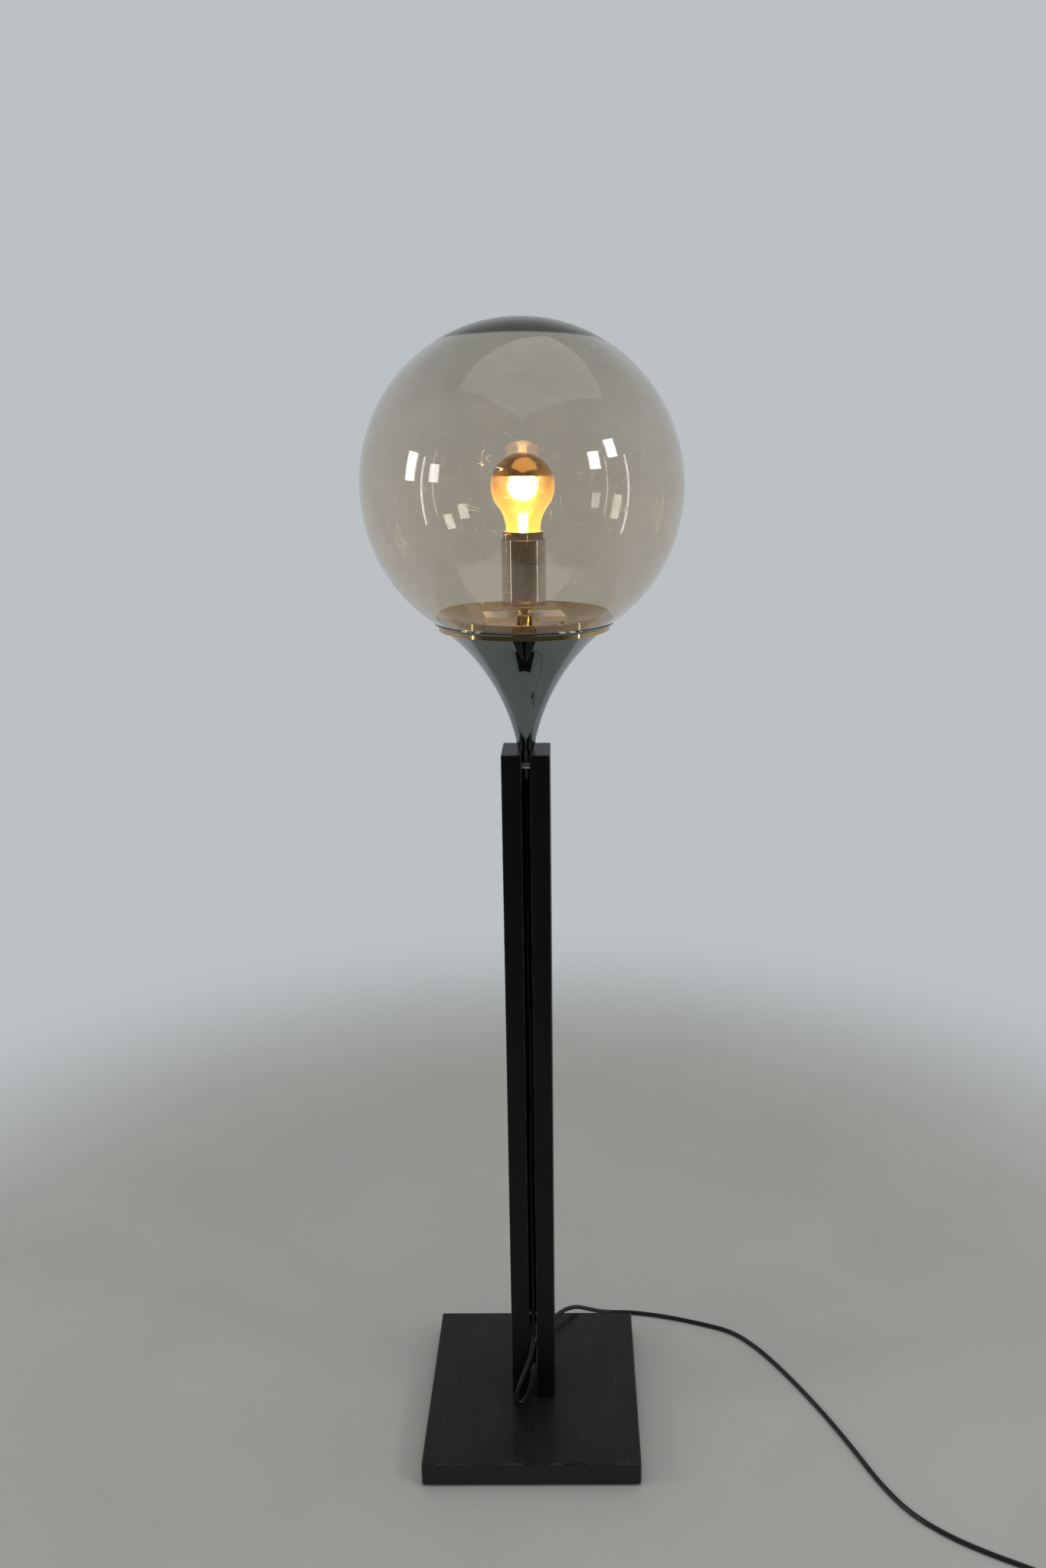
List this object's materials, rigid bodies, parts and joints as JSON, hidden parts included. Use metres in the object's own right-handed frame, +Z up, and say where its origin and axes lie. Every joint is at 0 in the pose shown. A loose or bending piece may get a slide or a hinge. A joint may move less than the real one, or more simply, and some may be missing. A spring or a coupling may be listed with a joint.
{
  "type": "globe floor lamp",
  "caption": "Floor lamp with a clear smoked glass globe on a flared chrome trumpet, a slotted black wooden post, a square base and a corded rocker switch.",
  "frame": {"origin": "on the floor, on the common axis of the globe, trumpet and post", "axes": "+Z up, +X to the right and +Y away from someone who faces the front of the post, where the cord's bight hangs out of the slot"},
  "size_m": [0.6882, 0.4836, 1.18],
  "materials": {
    "felt_black": "matte felt",
    "black_stained_wood": "black stained, semi-gloss lacquer, straight grain front to back",
    "black_stained_wood_post": "black stained, satin lacquer, straight upright grain",
    "zinc_steel": "zinc plated",
    "steel_rod": "turned steel",
    "chrome_trumpet": "polished chrome on spun steel",
    "chrome_dish": "polished chrome on spun steel",
    "brass_column": "polished",
    "satin_strap": "satin",
    "smoked_glass": "clear blown glass with a smoke tint",
    "nickel_sleeve": "polished nickel",
    "black_thermoset": "moulded",
    "porcelain": "glazed",
    "brass": "plain",
    "bulb_glass": "amber clear glass with a gold mirrored crown",
    "clear_glass": "clear",
    "nickel_wire": "drawn",
    "lit_filament": "lit",
    "nickel_cap": "nickel plated",
    "black_glass": "black insulating glass",
    "black_pvc": "smooth, slightly glossy",
    "core_insulation": "smooth",
    "tie_plastic": "smooth",
    "black_switch": "satin moulding",
    "rocker_plastic": "gloss moulding",
    "black_plug": "satin moulding",
    "nickel_pins": "nickel plated"
  },
  "bodies": {
    "lamp": {"base_glides": "felt_black", "base_plate": "black_stained_wood", "base_screws": "zinc_steel", "post_board_right": "black_stained_wood_post", "post_board_left": "black_stained_wood_post", "post_spine": "black_stained_wood_post", "lower_cross_dowel": "steel_rod", "cross_nut": "steel_rod", "stem_tube": "zinc_steel", "trumpet_cone": "chrome_trumpet", "reflector_dish": "chrome_dish", "strap_spacer": "brass_column", "clamp_strap": "satin_strap", "socket_coupler": "brass_column", "socket_sleeve": "nickel_sleeve", "socket_locknut": "zinc_steel", "socket_dome": "black_thermoset", "socket_insert": "porcelain", "terminal_screws": "brass", "contact_spring": "brass", "socket_thread_shell": "brass", "socket_ring": "black_thermoset", "lead_in_post": "black_pvc", "lead_cores": "core_insulation", "cord_run": "black_pvc", "cord_coil": "black_pvc", "coil_tie": "tie_plastic", "switch_base": "black_switch", "switch_cover": "black_switch", "rocker_pin": "steel_rod", "switch_screws": "zinc_steel", "switch_contacts": "brass", "plug_body": "black_plug", "plug_pins": "nickel_pins"},
    "globe": {"glass_globe": "smoked_glass"},
    "bulb": {"bulb_glass": "bulb_glass", "bulb_mount": "clear_glass", "bulb_lead_wires": "nickel_wire", "bulb_filament": "lit_filament", "bulb_cap": "nickel_cap", "bulb_cap_insulator": "black_glass", "bulb_contact_tip": "brass"},
    "rocker": {"switch_rocker": "rocker_plastic"}
  },
  "joints": [
    {"name": "globe_lift_off", "type": "slide", "parent": "lamp", "child": "globe", "axis": [0, 0, 1], "range_m": [0, 0.17]},
    {"name": "bulb_out", "type": "slide", "parent": "lamp", "child": "bulb", "axis": [0, 0, 1], "range_m": [0, 0.03]},
    {"name": "switch_rocker_tilt", "type": "hinge", "parent": "lamp", "child": "rocker", "pos_m": [0.4415, -0.316, 0.011], "axis": [0, 1, 0], "range_deg": [-14, 0]}
  ]
}
